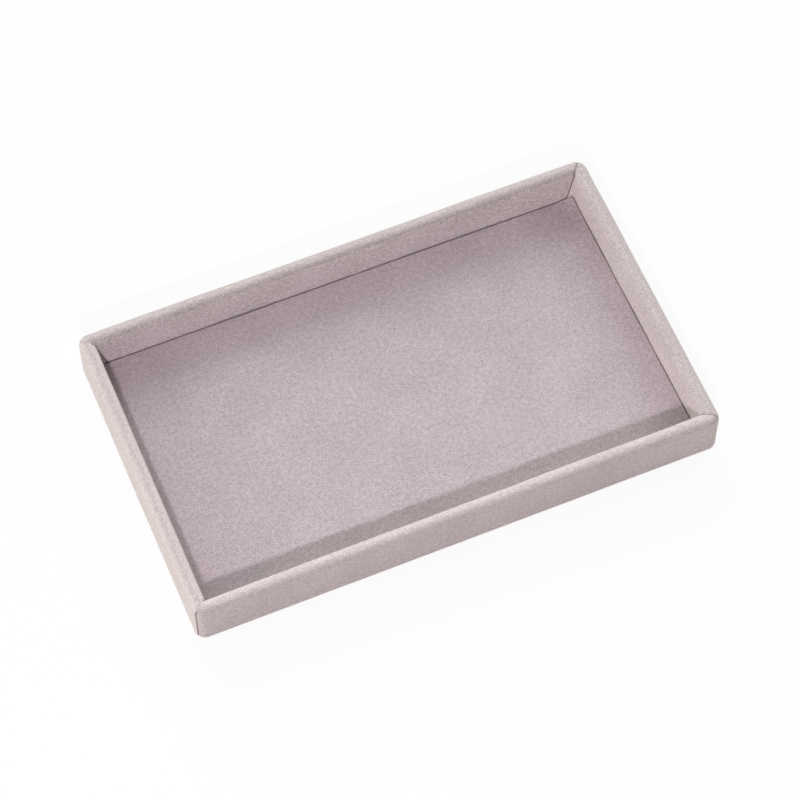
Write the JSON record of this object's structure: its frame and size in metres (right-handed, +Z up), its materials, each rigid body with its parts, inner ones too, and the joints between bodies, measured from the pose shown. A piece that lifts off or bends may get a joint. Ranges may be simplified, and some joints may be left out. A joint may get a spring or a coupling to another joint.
{
  "type": "jewelry tray",
  "caption": "Shallow open velvet-covered tray with rounded rims and a flat padded floor, for laying out jewelry and small things.",
  "frame": {"origin": "bottom centre of the tray, on the surface that it stands on", "axes": "+X along the long side, +Z up, and the front wall is on the -Y side"},
  "size_m": [0.25, 0.152, 0.025],
  "materials": {
    "velvet": "short mauve-grey pile with a soft sheen and a fine mottled nap",
    "lining": "thin matt felt, a shade darker than the velvet",
    "fibreboard": "raw medium-density fibreboard, cut edges a little darker",
    "card": "grey board",
    "steel_pin": "drawn steel wire"
  },
  "bodies": {
    "root": {"front_wall_board": "fibreboard", "back_wall_board": "fibreboard", "left_wall_board": "fibreboard", "right_wall_board": "fibreboard", "base_board": "fibreboard", "corner_brads": "steel_pin", "base_brads": "steel_pin", "front_wall_cover": "velvet", "back_wall_cover": "velvet", "left_wall_cover": "velvet", "right_wall_cover": "velvet", "pad_board": "card", "pad_cover": "velvet", "underside_lining": "lining"}
  },
  "joints": []
}
